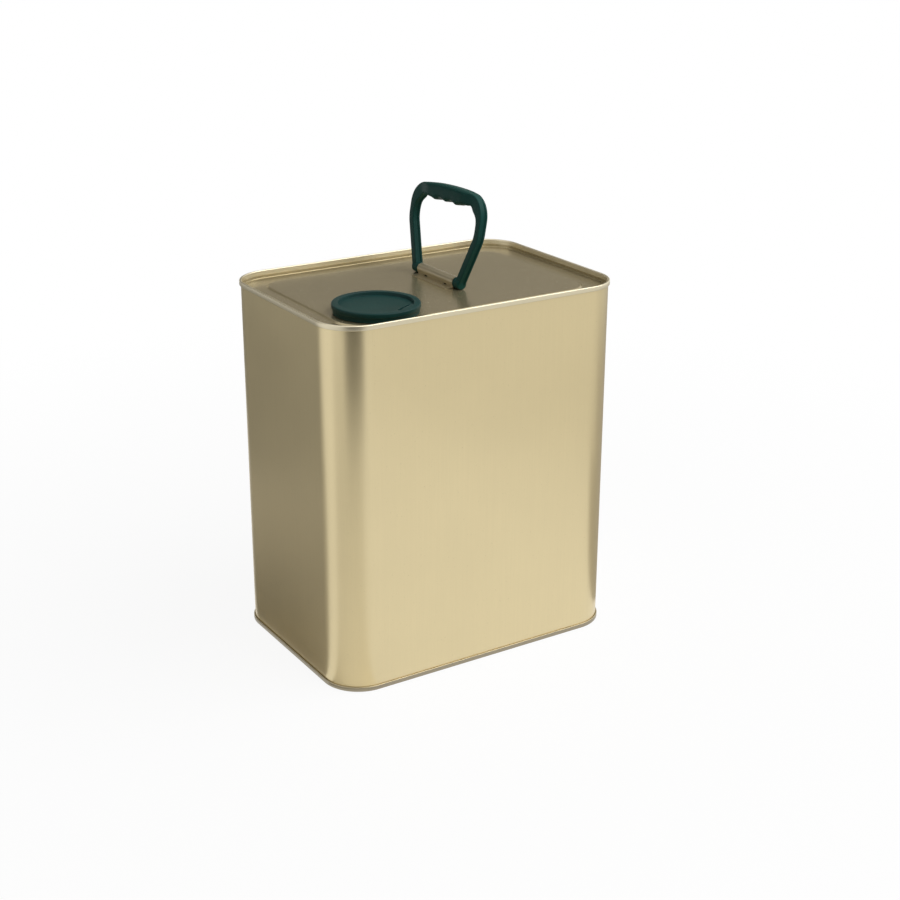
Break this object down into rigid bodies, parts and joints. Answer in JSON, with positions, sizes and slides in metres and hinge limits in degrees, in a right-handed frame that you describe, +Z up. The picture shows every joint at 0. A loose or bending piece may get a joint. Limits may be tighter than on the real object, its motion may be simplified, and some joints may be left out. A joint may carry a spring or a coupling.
{
  "type": "olive oil tin with spout",
  "caption": "Tall rounded rectangular tinplate can with a sunk lid, a capped telescoping pouring spout in one corner and a folding plastic carry handle with a finger grip.",
  "frame": {"origin": "middle of the tin's foot, on the plane it stands on", "axes": "+Z up, X along the wide faces with the spout toward -X, -Y the wide face seen in the picture"},
  "size_m": [0.2392, 0.1682, 0.3378],
  "materials": {
    "gold_tinplate": "satin gold-lacquered tinplate",
    "bright_tinplate": "plain rolled tinplate, half bright",
    "green_plastic": "moulded dark green plastic, half gloss",
    "teal_plastic": "moulded dark teal green plastic, half gloss",
    "natural_plastic": "natural low-density polyethylene, waxy",
    "seam_compound": "grey sealing compound",
    "gasket_rubber": "black gasket rubber",
    "liner_foam": "white foamed liner"
  },
  "bodies": {
    "tin": {"body_shell": "gold_tinplate", "top_lid": "gold_tinplate", "bottom_end": "gold_tinplate", "top_seam_compound": "seam_compound", "bottom_seam_compound": "seam_compound", "handle_clip": "bright_tinplate", "clip_welds": "bright_tinplate", "crimp_ring": "bright_tinplate", "neck_gasket": "gasket_rubber", "spout_base": "natural_plastic", "tamper_band": "teal_plastic"},
    "carry_handle": {"handle": "green_plastic"},
    "sleeve": {"spout_sleeve": "natural_plastic"},
    "nozzle": {"spout_nozzle": "natural_plastic"},
    "membrane": {"tear_membrane": "natural_plastic"},
    "liner": {"cap_liner": "liner_foam"},
    "cap": {"screw_cap": "natural_plastic"},
    "bail_front": {"pull_bail_front": "natural_plastic"},
    "bail_rear": {"pull_bail_rear": "natural_plastic"},
    "cover": {"overcap": "teal_plastic"}
  },
  "joints": [
    {"name": "handle_hinge", "type": "hinge", "parent": "tin", "child": "carry_handle", "pos_m": [0.0145, 0.0045, 0.2724], "axis": [0, 1, 0], "range_deg": [-86, 76]},
    {"name": "sleeve_slide", "type": "slide", "parent": "tin", "child": "sleeve", "axis": [0, 0, 1], "range_m": [0, 0.0222]},
    {"name": "nozzle_slide", "type": "slide", "parent": "sleeve", "child": "nozzle", "axis": [0, 0, 1], "range_m": [0, 0.0222]},
    {"name": "membrane_pull", "type": "slide", "parent": "nozzle", "child": "membrane", "axis": [0, 0, 1], "range_m": [0, 0.025]},
    {"name": "cap_lift", "type": "slide", "parent": "membrane", "child": "liner", "axis": [0, 0, 1], "range_m": [0, 0.03]},
    {"name": "cap_turn", "type": "hinge", "parent": "liner", "child": "cap", "pos_m": [-0.066, -0.0435, 0.27], "axis": [0, 0, 1], "range_deg": [0, 540]},
    {"name": "overcap_lift", "type": "slide", "parent": "cap", "child": "cover", "axis": [0, 0, 1], "range_m": [0, 0.06]},
    {"name": "bail_front_hinge", "type": "hinge", "parent": "cap", "child": "bail_front", "pos_m": [-0.066, -0.0448, 0.26985], "axis": [-1, 0, 0], "range_deg": [0, 85]},
    {"name": "bail_rear_hinge", "type": "hinge", "parent": "cap", "child": "bail_rear", "pos_m": [-0.066, -0.0422, 0.26985], "axis": [1, 0, 0], "range_deg": [0, 85]}
  ],
  "couplings": [
    {"joint": "bail_front_hinge", "follows": "overcap_lift", "rad_per_m": 24.7},
    {"joint": "bail_rear_hinge", "follows": "overcap_lift", "rad_per_m": 24.7}
  ]
}
